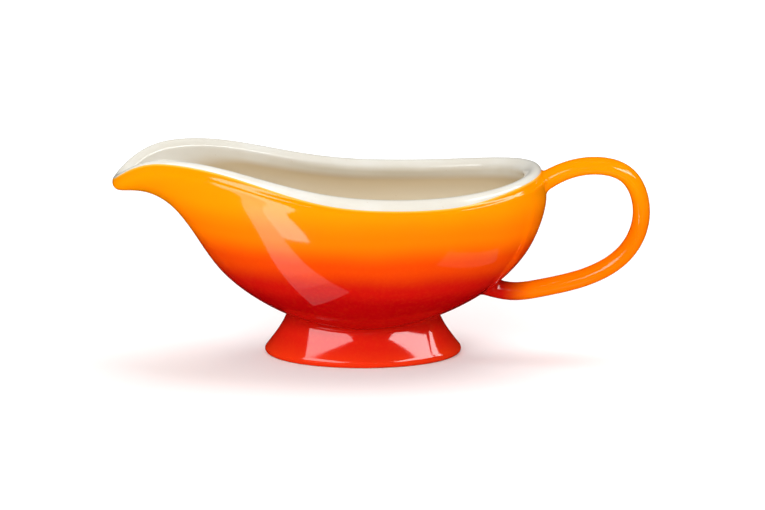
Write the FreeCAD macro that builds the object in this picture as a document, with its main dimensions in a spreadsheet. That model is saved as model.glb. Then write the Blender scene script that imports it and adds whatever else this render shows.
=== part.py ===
"""Gravy boat: a slip-cast stoneware boat on a flared oval foot, with a loop handle luted on and two glazes.

Origin: the centre of the foot, on the table. +X points to the handle, -X to the spout, +Z up. Millimetres.
"""

import FreeCAD
import Part
import math
import os

Vector = FreeCAD.Vector

# ---------------------------------------------------------------- driving sizes

SIZES = {
    "spout_reach": 109.3,         # foot centre to the outermost point of the spout
    "back_reach": 79.7,           # foot centre to the belly at the handle end
    "throat_reach": 76.0,         # foot centre to the hull just under the spout
    "belly_half_width": 46.0,     # half the width of the hull at its widest
    "belly_height": 69.7,         # height of the widest level of the hull
    "hull_depth": 57.0,           # widest level down to the underside of the hull
    "rim_height": 77.5,           # top of the lip where it dips lowest
    "rim_low_place": 16.0,        # how far behind the foot centre the lip dips lowest
    "spout_peak_rise": 14.2,      # the lip's peak over the spout, above its lowest place
    "spout_peak_setback": 25.0,   # the peak, back from the tip
    "spout_tip_drop": 10.6,       # the tip of the lip, below its peak
    "spout_under_height": 73.3,   # underside of the spout near its tip
    "spout_lip_height": 76.9,     # middle of the rolled lip at the tip
    "back_rise": 7.0,             # the lip at the handle end, above its lowest place
    "rim_tuck": 1.4,              # how far the lip stands in from the belly
    "rim_middle": 5.0,            # how far behind the foot centre the lip is widest
    "lip_radius": 3.5,            # half the thickness of the rolled lip
    "wall": 5.0,                  # clay wall of the boat
    "floor_thickness": 6.5,       # clay under the inside floor
    "coat": 0.5,                  # thickness of a fired glaze, and of the slip in a joint
    "foot_half_length": 45.0,     # half the foot's length, on the table
    "foot_half_width": 32.0,      # half the foot's width, on the table
    "foot_height": 16.7,          # table to the foot's waist at its ends
    "foot_flare": 11.3,           # how far the foot spreads from its waist to the table
    "foot_dish": 0.8,             # how far the flare is dished between waist and table
    "foot_wall": 5.0,             # clay wall of the foot
    "foot_edge": 1.9,             # rounding of the foot's lower edge, outside
    "foot_inner_edge": 0.8,       # rounding of the same edge, inside the hollow
    "handle_width": 11.0,         # clay section of the handle, side to side
    "handle_thickness": 6.6,      # clay section of the handle, across the loop
    "handle_flare": 1.22,         # how much the section swells at the joints
    "handle_reach": 122.2,        # foot centre to the middle of the handle at its furthest
    "handle_top": 84.2,           # middle of the handle at its highest
    "handle_low": 27.0,           # middle of the handle where it runs in under the hull
}

doc = FreeCAD.newDocument("gravy_boat")
sheet = doc.addObject("Spreadsheet::Sheet", "sizes")
for row, (alias, value) in enumerate(SIZES.items(), start=1):
    sheet.set(f"A{row}", alias)
    sheet.set(f"B{row}", str(value))
    sheet.setAlias(f"B{row}", alias)
doc.recompute()


def size(alias):
    """A driving size, read from the sheet."""
    return float(sheet.get(alias))


# ---------------------------------------------------------------- the boat's skin, as rings

COLUMNS = 36                       # points round each ring, the first at the handle end
HULL_TURNS = (10, 25, 40, 55, 70)  # degrees up the hull's round section, from the keel
LIP_TURNS = (0, 45, 90, 135, 180)  # degrees over the rolled lip, from its outermost line
RISE_POWER = 1.25                  # how the sheer starts its rise to the spout
TIP_POWER = 2.3                    # how the lip falls from its peak to the tip
TIP_FOCUS = 14                     # how narrowly a ring's tip height is kept to the tip
KEEL_TAPER = 1.11                  # above 1 gives the hull straighter ends than an ellipse
BELLY_FULLNESS = 0.66              # below 1 gives the hull fuller flanks than an ellipse
RIM_LEAN = 0.10                    # how much blunter in plan the lip is at the handle end
HULL_SHEER = 0.25                  # how much of the sheer the top of the round hull takes up

FLANKS = (
    # share of the way out to the spout's tip, drop below the lip, share of the sheer, height under the spout
    (0.20, 10.4, 0.45, -6.8),
    (0.60, 4.6, 0.75, 0.4),
    (0.91, 1.6, 0.92, 0.7),
)
WELL = (
    # the shallow well of the trimming block: share of the lip's inside line, depth under the lip's lowest line
    (0.62, 0.0),
    (0.40, 20.0),
    (0.25, 20.0),
)
HANDLE_STOPS = (
    # measured from the lip or from the handle's reach, how far out from there, share of the drop below the top
    ("lip", -4.0, 0.185),
    ("lip", 7.5, 0.063),
    ("reach", -21.5, 0.0),
    ("reach", -7.0, 0.068),
    ("reach", 0.0, 0.380),
    ("reach", -7.2, 0.690),
    ("reach", -21.3, 0.856),
    ("lip", 1.0, 0.960),
    ("lip", -13.0, 0.988),
    ("lip", -29.0, 0.910),
)
LIP_BREAK = len(HULL_TURNS) + len(FLANKS)  # the ring along the lip's outermost line, where the glazes meet


def sheer_rise(x):
    """Height of the lip above its lowest place, at a place along the boat."""
    low = size("rim_low_place")
    peak = size("spout_peak_setback") - size("spout_reach")
    if x >= low:
        return size("back_rise") * ((x - low) / (size("back_reach") - low)) ** 2
    if x >= peak:
        share = ((low - x) / (low - peak)) ** RISE_POWER
        return size("spout_peak_rise") * (1 - math.cos(math.pi * share)) / 2
    share = min(1.0, (peak - x) / size("spout_peak_setback"))
    return size("spout_peak_rise") - size("spout_tip_drop") * share ** TIP_POWER


def ring(tip, back, half, middle, level, sheer, tip_height):
    """Points round the boat: an egg in plan, lifted by its share of the sheer, with its own height at the tip."""
    skew = (back - tip - 2 * middle) / 4
    at_tip = level + sheer * sheer_rise(-tip)
    points = []
    for column in range(COLUMNS):
        turn = 2 * math.pi * column / COLUMNS
        x = (back - tip) / 2 - skew + (back + tip) / 2 * math.cos(turn) + skew * math.cos(2 * turn)
        y = half * math.sin(turn) * (1 + RIM_LEAN * sheer * math.cos(turn))
        nearness = ((1 - math.cos(turn)) / 2) ** TIP_FOCUS
        z = level + sheer * sheer_rise(x) + (tip_height - at_tip) * nearness
        points.append(Vector(x, y, z))
    return points


def hull_ring(turn_degrees, skin, keel_skin):
    """A ring on the round of the hull, grown by a skin; a negative skin is inside it."""
    rise = math.sin(math.radians(turn_degrees))
    fall = math.cos(math.radians(turn_degrees))
    level = size("belly_height") - (size("hull_depth") + keel_skin) * fall
    return ring(
        tip=(size("throat_reach") + skin) * rise ** KEEL_TAPER,
        back=(size("back_reach") + skin) * rise ** KEEL_TAPER,
        half=(size("belly_half_width") + skin) * rise ** BELLY_FULLNESS,
        middle=size("rim_middle") * rise ** 4,
        level=level,
        sheer=HULL_SHEER * rise ** 8,
        tip_height=level,
    )


def flank_ring(flank, skin):
    """A ring between the round of the hull and the lip, drawn out under the spout."""
    outward, drop, sheer, under = flank
    return ring(
        tip=size("throat_reach") + outward * (size("spout_reach") - size("throat_reach")) + skin,
        back=size("back_reach") + skin,
        half=size("belly_half_width") + skin,
        middle=size("rim_middle"),
        level=size("rim_height") - size("lip_radius") - drop,
        sheer=sheer,
        tip_height=size("spout_under_height") + under - skin,
    )


def lip_ring(turn_degrees, coat):
    """A ring over the rolled lip, with a coat on it."""
    radius = size("lip_radius") + coat
    inset = size("lip_radius") - radius * math.cos(math.radians(turn_degrees))
    above = radius * math.sin(math.radians(turn_degrees))
    return ring(
        tip=size("spout_reach") - inset,
        back=size("back_reach") - size("rim_tuck") - inset,
        half=size("belly_half_width") - size("rim_tuck") - inset,
        middle=size("rim_middle"),
        level=size("rim_height") - size("lip_radius") + above,
        sheer=1.0,
        tip_height=size("spout_lip_height") + above,
    )


def outside_rings(coat):
    """Rings from under the hull up to the lip's outermost line."""
    rings = [hull_ring(turn, coat, coat) for turn in HULL_TURNS]
    return rings + [flank_ring(flank, coat) for flank in FLANKS]


def inside_rings(coat):
    """Rings from under the lip down to the inside floor."""
    skin = -size("wall") - coat
    floor = -size("floor_thickness") - coat
    rings = [flank_ring(flank, skin) for flank in reversed(FLANKS[:-1])]
    return rings + [hull_ring(turn, skin, floor) for turn in reversed(HULL_TURNS)]


def boat_rings(coat):
    """Rings from under the hull, over the lip and down inside to the floor, with a coat on them."""
    return outside_rings(coat) + [lip_ring(turn, coat) for turn in LIP_TURNS] + inside_rings(coat)


# ---------------------------------------------------------------- surfaces and solids from rings

def skin_surface(rings):
    """A smooth surface through the rings, closed round them."""
    round_steps = [float(step) for step in range(COLUMNS + 1)]
    up_steps = [float(step) for step in range(len(rings))]
    ring_poles = []
    for points in rings:
        ring_curve = Part.BSplineCurve()
        ring_curve.interpolate(Points=points, PeriodicFlag=True, Parameters=round_steps)
        ring_poles.append(ring_curve.getPoles())
    profiles = []
    for column in range(len(ring_poles[0])):
        profile = Part.BSplineCurve()
        profile.interpolate(Points=[poles[column] for poles in ring_poles], Parameters=up_steps)
        profiles.append(profile)
    surface = Part.BSplineSurface()
    surface.buildFromPolesMultsKnots(
        [profile.getPoles() for profile in profiles],
        ring_curve.getMultiplicities(),
        profiles[0].getMultiplicities(),
        ring_curve.getKnots(),
        profiles[0].getKnots(),
        True,
        False,
        ring_curve.Degree,
        profiles[0].Degree,
    )
    return surface


def skin_between(surface, first, last):
    """The face of a surface between two of its rings."""
    return surface.toShape(0.0, float(COLUMNS), float(first), float(last))


def ring_edge(surface, step):
    """The closed edge along one ring."""
    return surface.vIso(float(step)).toShape()


def disc_at(surface, step):
    """The flat face inside a level ring."""
    return Part.Face(Part.Wire([ring_edge(surface, step)]))


def solid_of(faces):
    """One closed solid from faces that meet along their edges."""
    shell = Part.makeShell(faces)
    shell.sewShape(0.001)
    solid = Part.makeSolid(shell)
    solid.fix(0.001, 0.001, 0.001)
    if solid.Volume < 0:
        solid.reverse()
    return solid


def capped_solid(rings):
    """A solid inside a skin whose first and last rings are level."""
    surface = skin_surface(rings)
    last = len(rings) - 1
    return solid_of([skin_between(surface, 0, last), disc_at(surface, 0), disc_at(surface, last)])


def coat_solid(first, last, level_ring):
    """A coat on the boat between two rings, one of them level and the other along the lip's outermost line."""
    clay = skin_surface(boat_rings(0.0))
    glazed = skin_surface(boat_rings(size("coat")))
    faces = [skin_between(clay, first, last), skin_between(glazed, first, last)]
    faces += [disc_at(clay, level_ring), disc_at(glazed, level_ring)]
    faces.append(Part.makeRuledSurface(ring_edge(clay, LIP_BREAK), ring_edge(glazed, LIP_BREAK)))
    return solid_of(faces)


def hull_block():
    """The coated hull as a block with a shallow well, which trims whatever is joined to it."""
    lip = [lip_ring(turn, size("coat")) for turn in LIP_TURNS]
    top = size("rim_height") - size("lip_radius")
    well = [[Vector(point.x * share, point.y * share, top - depth) for point in lip[-1]] for share, depth in WELL]
    return capped_solid(outside_rings(size("coat")) + lip + well)


# ---------------------------------------------------------------- document objects

def placed_shape(name, shape):
    """An object that holds a free-form solid at the model's origin."""
    item = doc.addObject("Part::Feature", name)
    item.Label = name
    item.Shape = shape
    item.Placement = FreeCAD.Placement()
    return item


def cut(name, base, tool):
    """The base with the tool's volume taken away."""
    item = doc.addObject("Part::Cut", name)
    item.Label = name
    item.Base = base
    item.Tool = tool
    return item


def common(name, base, tool):
    """The volume that the base and the tool share."""
    item = doc.addObject("Part::Common", name)
    item.Label = name
    item.Base = base
    item.Tool = tool
    return item


def fuse(name, base, tool):
    """The base and the tool in one."""
    item = doc.addObject("Part::Fuse", name)
    item.Label = name
    item.Base = base
    item.Tool = tool
    return item


def space(name, low, high):
    """A block of space round the whole boat between two heights, given as expressions in millimetres."""
    half = "(sizes.handle_reach + sizes.handle_width)"
    item = doc.addObject("Part::Box", name)
    item.setExpression("Length", f"2 * {half} * 1 mm")
    item.setExpression("Width", f"2 * {half} * 1 mm")
    item.setExpression("Height", f"({high} - ({low})) * 1 mm")
    item.setExpression("Placement.Base.x", f"-{half} * 1 mm")
    item.setExpression("Placement.Base.y", f"-{half} * 1 mm")
    item.setExpression("Placement.Base.z", f"({low}) * 1 mm")
    return item


# ---------------------------------------------------------------- foot

EDGE_LIMIT = 0.45   # the most of the foot's wall that a rounded edge takes


def oval_loft(name, ovals):
    """A solid through level ovals, each given by expressions for its inset from the foot's outline and its height."""
    sections = []
    for number, (inset, height) in enumerate(ovals):
        oval = doc.addObject("Part::Ellipse", f"{name}_oval_{number}")
        oval.setExpression("MajorRadius", f"(sizes.foot_half_length - ({inset})) * 1 mm")
        oval.setExpression("MinorRadius", f"(sizes.foot_half_width - ({inset})) * 1 mm")
        oval.setExpression("Placement.Base.z", f"({height}) * 1 mm")
        sections.append(oval)
    item = doc.addObject("Part::Loft", name)
    item.Sections = sections
    item.Solid = True
    item.Ruled = False
    return item


def foot_block(name, coat):
    """The foot's flared outside as a block that runs up into the hull, with a coat on it."""
    return oval_loft(name, (
        (f"-{coat}", "0"),
        (f"sizes.foot_flare / 2 + sizes.foot_dish - {coat}", "sizes.foot_height / 2"),
        (f"sizes.foot_flare - {coat}", "sizes.foot_height"),
        (f"sizes.foot_flare + 2 * sizes.foot_dish - {coat}", "sizes.foot_height + sizes.wall"),
    ))


def foot_hollow(name, coat):
    """The oval hollow under the foot as a block that runs up into the hull, with a coat on its wall."""
    return oval_loft(name, (
        (f"sizes.foot_wall + {coat}", "0"),
        (f"sizes.foot_flare + sizes.foot_wall + {coat}", "sizes.foot_height + sizes.wall"),
    ))


def foot_nodes(hull, hull_coat):
    """The clay foot, the slip that joins it, and the glaze outside it and in its hollow."""
    block = foot_block("foot_block", "0")
    hollow = foot_hollow("foot_hollow_block", "0")
    clay = cut("foot_clay", block, hollow)
    doc.recompute()
    rounded = doc.addObject("Part::Fillet", "foot_rounded")
    rounded.Base = clay
    on_table = [n for n, e in enumerate(clay.Shape.Edges, start=1) if e.Closed and abs(e.CenterOfMass.z) < 0.01]
    outer, inner = sorted(on_table, key=lambda number: -clay.Shape.Edges[number - 1].Length)
    edge = min(size("foot_edge"), EDGE_LIMIT * size("foot_wall"))
    inner_edge = min(size("foot_inner_edge"), EDGE_LIMIT * size("foot_wall") / 2)
    rounded.Edges = [(outer, edge, edge), (inner, inner_edge, inner_edge)]
    cut("foot", rounded, hull)
    common("foot_joint_slip", hull_coat, clay)

    bare_edge = space("bare_edge", "-sizes.foot_edge", "sizes.foot_edge")
    outer_coat = cut("foot_outer_coat", foot_block("foot_glazed_block", "sizes.coat"), block)
    cut("foot_glaze", cut("foot_coat_to_edge", outer_coat, bare_edge), hull)

    inner_coat = cut("foot_inner_coat", hollow, foot_hollow("foot_glazed_hollow", "sizes.coat"))
    wall_glaze = cut("hollow_wall_glaze", cut("hollow_coat_to_edge", inner_coat, bare_edge), hull)
    fuse("foot_hollow_glaze", wall_glaze, common("hollow_roof_glaze", hull_coat, hollow))
    return block


# ---------------------------------------------------------------- handle

HANDLE_STATIONS = 17   # sections along the handle
FLARE_POWER = 10       # how closely the swelling is kept to the joints


def handle_path():
    """The middle line of the handle, from the lip end round to where it runs in under the hull."""
    start = {"lip": size("back_reach") - size("rim_tuck"), "reach": size("handle_reach")}
    drop = size("handle_top") - size("handle_low")
    path = Part.BSplineCurve()
    path.interpolate(Points=[
        Vector(start[base] + out, 0, size("handle_top") - share * drop) for base, out, share in HANDLE_STOPS
    ])
    return path


def handle_block(coat):
    """The handle before it is trimmed to the hull, with a coat on it: ovals along its path, swelling at the ends."""
    path = handle_path()
    sections = []
    for station in range(HANDLE_STATIONS):
        share = station / (HANDLE_STATIONS - 1)
        place = path.parameterAtDistance(path.length() * share)
        along = path.tangent(place)[0]
        swell = 1 + (size("handle_flare") - 1) * abs(2 * share - 1) ** FLARE_POWER
        oval = Part.Ellipse()
        oval.MajorRadius = size("handle_width") / 2 * swell + coat
        oval.MinorRadius = size("handle_thickness") / 2 * swell + coat
        section = Part.Wire([oval.toShape()])
        side = Vector(0, 1, 0)
        turned = FreeCAD.Rotation(side, along.cross(side), along, "ZXY")
        section.Placement = FreeCAD.Placement(path.value(place), turned)
        sections.append(section)
    return Part.makeLoft(sections, True, False)


def handle_nodes(hull, hull_coat):
    """The clay handle, the slip in its two joints and its glaze."""
    block = placed_shape("handle_block", handle_block(0.0))
    glazed = placed_shape("handle_glazed_block", handle_block(size("coat")))
    cut("handle", block, hull)
    cut("handle_glaze", cut("handle_coat", glazed, block), hull)
    middle = "(sizes.handle_top + sizes.handle_low) / 2"
    joints = common("handle_joints", hull_coat, block)
    common("handle_top_slip", joints, space("space_above", middle, "2 * sizes.handle_top"))
    common("handle_low_slip", joints, space("space_below", "0", middle))
    return block


# ---------------------------------------------------------------- assembly

NODES = (
    "bowl",
    "foot",
    "handle",
    "foot_joint_slip",
    "handle_top_slip",
    "handle_low_slip",
    "bowl_glaze",
    "liner_glaze",
    "foot_glaze",
    "foot_hollow_glaze",
    "handle_glaze",
)


def build():
    """Every sub-part, each in a document object of its own."""
    floor_ring = len(boat_rings(0.0)) - 1
    placed_shape("bowl", capped_solid(boat_rings(0.0)))
    placed_shape("liner_glaze", coat_solid(LIP_BREAK, floor_ring, floor_ring))
    hull = placed_shape("hull_block", hull_block())
    hull_coat = placed_shape("hull_coat", coat_solid(0, LIP_BREAK, 0))
    foot = foot_nodes(hull, hull_coat)
    handle = handle_nodes(hull, hull_coat)
    cut("bowl_glaze", cut("hull_coat_off_foot", hull_coat, foot), handle)
    doc.recompute()


def check():
    """Stops if any object failed or any sub-part is not a sound solid."""
    for item in doc.Objects:
        failed = {"Invalid", "Error"} & set(item.State)
        if failed:
            raise RuntimeError(f"{item.Name}: {item.State}")
    for name in NODES:
        shape = doc.getObject(name).Shape
        if shape.isNull() or not shape.isValid() or not shape.Solids:
            raise RuntimeError(f"{name}: not a sound solid")
        print(f"{name}: {len(shape.Solids)} solid(s), {shape.Volume:.1f} mm3")


def export():
    """Each sub-part to its own STEP file."""
    os.makedirs("parts", exist_ok=True)
    for name in NODES:
        doc.getObject(name).Shape.exportStep(f"parts/{name}.step")


build()
check()
export()
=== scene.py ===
"""Looks of a glazed stoneware gravy boat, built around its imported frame. Metres, +X to the handle, +Z up."""

import logging
import math
from dataclasses import dataclass, field
from enum import Enum
from typing import Any, Callable, Sequence

import bmesh
import bpy
import numpy as np
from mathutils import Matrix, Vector
from mathutils.bvhtree import BVHTree


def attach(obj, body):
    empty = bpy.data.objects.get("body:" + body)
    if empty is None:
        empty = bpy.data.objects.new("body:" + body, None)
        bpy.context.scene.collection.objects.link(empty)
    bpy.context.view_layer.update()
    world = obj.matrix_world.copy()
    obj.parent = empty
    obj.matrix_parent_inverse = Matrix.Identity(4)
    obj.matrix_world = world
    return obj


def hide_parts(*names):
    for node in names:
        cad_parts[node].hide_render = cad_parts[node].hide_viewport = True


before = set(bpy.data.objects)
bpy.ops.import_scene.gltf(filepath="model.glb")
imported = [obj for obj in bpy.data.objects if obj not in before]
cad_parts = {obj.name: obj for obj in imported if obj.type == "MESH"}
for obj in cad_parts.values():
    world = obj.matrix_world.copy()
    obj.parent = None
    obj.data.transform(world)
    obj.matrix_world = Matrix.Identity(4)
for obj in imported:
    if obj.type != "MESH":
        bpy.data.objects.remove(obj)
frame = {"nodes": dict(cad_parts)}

LOG = logging.getLogger("gravy_boat")
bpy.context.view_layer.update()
MM = 0.001
BODY = "root"
MERGE_DISTANCE = 1e-7
SINK = 0.12 * MM


# ---------------------------------------------------------------- curves and skins in numbers

def spline_through(stations: np.ndarray, knots: np.ndarray, places: np.ndarray) -> np.ndarray:
    """A smooth curve through stations, read at some places.

    Args:
        stations: What the curve passes through; the first axis runs along the curve.
        knots: Where along the curve each station lies.
        places: Where to read the curve.

    Returns:
        One entry for each place, shaped as a station.
    """
    count = len(stations)
    flat = stations.reshape(count, -1)
    gaps = np.diff(knots)
    system = np.zeros((count, count))
    right = np.zeros_like(flat)
    system[0, 0] = system[-1, -1] = 1.0
    for row in range(1, count - 1):
        system[row, row - 1: row + 2] = gaps[row - 1], 2 * (gaps[row - 1] + gaps[row]), gaps[row]
        slope = (flat[row + 1] - flat[row]) / gaps[row] - (flat[row] - flat[row - 1]) / gaps[row - 1]
        right[row] = 6 * slope
    bends = np.linalg.solve(system, right)
    span = np.clip(np.searchsorted(knots, places, side="right") - 1, 0, count - 2)
    gap = gaps[span][:, None]
    after = (places - knots[span])[:, None]
    before = gap - after
    found = (bends[span] * before ** 3 + bends[span + 1] * after ** 3) / (6 * gap)
    found += (flat[span] / gap - bends[span] * gap / 6) * before
    found += (flat[span + 1] / gap - bends[span + 1] * gap / 6) * after
    return found.reshape((len(places),) + stations.shape[1:])


@dataclass(frozen=True)
class BoatShape:
    """The boat's form, as level and sheered egg-shaped rings.

    Every size repeats the frame's design; heights are above the table.
    """

    spout_reach: float = 109.3 * MM
    back_reach: float = 79.7 * MM
    throat_reach: float = 76.0 * MM
    half_width: float = 46.0 * MM
    belly_height: float = 69.7 * MM
    hull_depth: float = 57.0 * MM
    rim_height: float = 77.5 * MM
    rim_low_place: float = 16.0 * MM
    peak_rise: float = 14.2 * MM
    peak_setback: float = 25.0 * MM
    tip_drop: float = 10.6 * MM
    under_height: float = 73.3 * MM
    tip_lip_height: float = 76.9 * MM
    tip_power: float = 14
    back_rise: float = 7.0 * MM
    fore_power: float = 1.25
    nose_power: float = 2.3
    plan_fullness: float = 0.10
    keel_taper: float = 1.11
    belly_fullness: float = 0.66
    belly_sheer: float = 0.25
    rim_tuck: float = 1.4 * MM
    rim_middle: float = 5.0 * MM
    lip_radius: float = 3.5 * MM
    wall: float = 5.0 * MM
    floor: float = 6.5 * MM
    coat: float = 0.5 * MM
    line_climb_fore: float = 0.66
    line_climb_aft: float = 0.72
    line_fore: tuple[float, float] = (5 * MM, 65 * MM)
    line_aft: tuple[float, float] = (36 * MM, 72 * MM)
    columns: int = 144
    hull_turns: tuple[int, ...] = (10, 25, 40, 55, 70)
    lip_turns: tuple[int, ...] = (0, 45, 90, 135, 180)
    flanks: tuple[tuple[float, float, float, float], ...] = (
        (0.20, 10.4 * MM, 0.45, -6.8 * MM),
        (0.60, 4.6 * MM, 0.75, 0.4 * MM),
        (0.91, 1.6 * MM, 0.92, 0.7 * MM),
    )

    def sheer_rise(self, x: np.ndarray) -> np.ndarray:
        """Height of the lip above its lowest place, at places along the boat.

        Args:
            x: Places along the boat.

        Returns:
            The height at each place.
        """
        peak = self.peak_setback - self.spout_reach
        aft = np.clip((x - self.rim_low_place) / (self.back_reach - self.rim_low_place), 0, None)
        fore = np.clip((self.rim_low_place - x) / (self.rim_low_place - peak), 0, 1) ** self.fore_power
        nose = np.clip((peak - x) / self.peak_setback, 0, 1) ** self.nose_power
        rise = self.back_rise * aft ** 2 + self.peak_rise * (1 - np.cos(np.pi * fore)) / 2
        return rise - self.tip_drop * nose

    def ring(
        self, tip: float, back: float, half: float, middle: float,
        level: float, sheer: float, tip_height: float,
    ) -> np.ndarray:
        """Points round the boat: an egg in plan, lifted by its share of the sheer.

        Args:
            tip: Reach towards the spout.
            back: Reach towards the handle.
            half: Half the width.
            middle: Where along the boat it is widest.
            level: Height where the sheer is lowest.
            sheer: Share of the lip's sheer that it takes up.
            tip_height: Its height at the spout's end.

        Returns:
            One row of three coordinates for each column, the first at the handle end.
        """
        turn = 2 * np.pi * np.arange(self.columns) / self.columns
        skew = (back - tip - 2 * middle) / 4
        x = (back - tip) / 2 - skew + (back + tip) / 2 * np.cos(turn) + skew * np.cos(2 * turn)
        y = half * np.sin(turn) * (1 + self.plan_fullness * sheer * np.cos(turn))
        at_tip = level + sheer * self.sheer_rise(np.array([-tip]))[0]
        nose = ((1 - np.cos(turn)) / 2) ** self.tip_power
        z = level + sheer * self.sheer_rise(x) + (tip_height - at_tip) * nose
        return np.stack([x, y, z], axis=-1)

    def hull_ring(self, degrees: float, skin: float, keel_skin: float) -> np.ndarray:
        """A ring on the round of the hull, grown by a skin; a negative skin is inside it.

        Args:
            degrees: How far round the hull, from the keel to the belly.
            skin: How far the sides are grown.
            keel_skin: How far the keel is grown.

        Returns:
            The ring's points.
        """
        rise = math.sin(math.radians(degrees))
        level = self.belly_height - (self.hull_depth + keel_skin) * math.cos(math.radians(degrees))
        return self.ring(
            (self.throat_reach + skin) * rise ** self.keel_taper,
            (self.back_reach + skin) * rise ** self.keel_taper,
            (self.half_width + skin) * rise ** self.belly_fullness,
            self.rim_middle * rise ** 4,
            level,
            self.belly_sheer * rise ** 8,
            level,
        )

    def flank_ring(self, flank: tuple[float, float, float, float], skin: float) -> np.ndarray:
        """A ring between the round of the hull and the lip, drawn out under the spout.

        Args:
            flank: Its share of the spout's reach, its drop below the lip, its share of the sheer and its
                rise under the spout.
            skin: How far it is grown.

        Returns:
            The ring's points.
        """
        outward, drop, sheer, under = flank
        return self.ring(
            self.throat_reach + outward * (self.spout_reach - self.throat_reach) + skin,
            self.back_reach + skin,
            self.half_width + skin,
            self.rim_middle,
            self.rim_height - self.lip_radius - drop,
            sheer,
            self.under_height + under - skin,
        )

    def lip_ring(self, degrees: float, coat: float) -> np.ndarray:
        """A ring over the rolled lip, with a coat on it.

        Args:
            degrees: How far over the lip, from its outermost line.
            coat: The coat's thickness.

        Returns:
            The ring's points.
        """
        radius = self.lip_radius + coat
        inset = self.lip_radius - radius * math.cos(math.radians(degrees))
        above = radius * math.sin(math.radians(degrees))
        return self.ring(
            self.spout_reach - inset,
            self.back_reach - self.rim_tuck - inset,
            self.half_width - self.rim_tuck - inset,
            self.rim_middle,
            self.rim_height - self.lip_radius + above,
            1.0,
            self.tip_lip_height + above,
        )

    def stations(self, coat: float) -> np.ndarray:
        """Every ring from under the hull, over the lip and down inside to the floor.

        Args:
            coat: The thickness of the glaze on the clay.

        Returns:
            The rings' points, ring by ring.
        """
        inside = -self.wall - coat
        rings = [self.hull_ring(turn, coat, coat) for turn in self.hull_turns]
        rings += [self.flank_ring(flank, coat) for flank in self.flanks]
        rings += [self.lip_ring(turn, coat) for turn in self.lip_turns]
        rings += [self.flank_ring(flank, inside) for flank in reversed(self.flanks[:-1])]
        rings += [self.hull_ring(turn, inside, -self.floor - coat) for turn in reversed(self.hull_turns)]
        return np.array(rings)

    @property
    def lip_start(self) -> int:
        """The station along the lip's outermost line."""
        return len(self.hull_turns) + len(self.flanks)

    def glaze_line(self) -> np.ndarray:
        """Where the two glazes meet: on the lip's outermost line, and higher at both ends.

        Returns:
            The place in each column, counted in stations.
        """
        x = self.stations(self.coat)[self.lip_start, :, 0]
        fore = np.clip((-x - self.line_fore[0]) / (self.line_fore[1] - self.line_fore[0]), 0, 1)
        aft = np.clip((x - self.line_aft[0]) / (self.line_aft[1] - self.line_aft[0]), 0, 1)
        rise = self.line_climb_fore * (1 - np.cos(np.pi * fore)) / 2
        rise += self.line_climb_aft * (1 - np.cos(np.pi * aft)) / 2
        return self.lip_start + rise

    def rings(self, places: np.ndarray) -> np.ndarray:
        """Rings of the glazed skin.

        Args:
            places: For each ring, where every column lies, counted in stations.

        Returns:
            The rings' points.
        """
        stations = self.stations(self.coat)
        knots = np.arange(len(stations), dtype=float)
        found = [spline_through(stations[:, c], knots, places[:, c]) for c in range(self.columns)]
        return np.stack(found, axis=1)


# ---------------------------------------------------------------- modelling by rings

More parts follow.
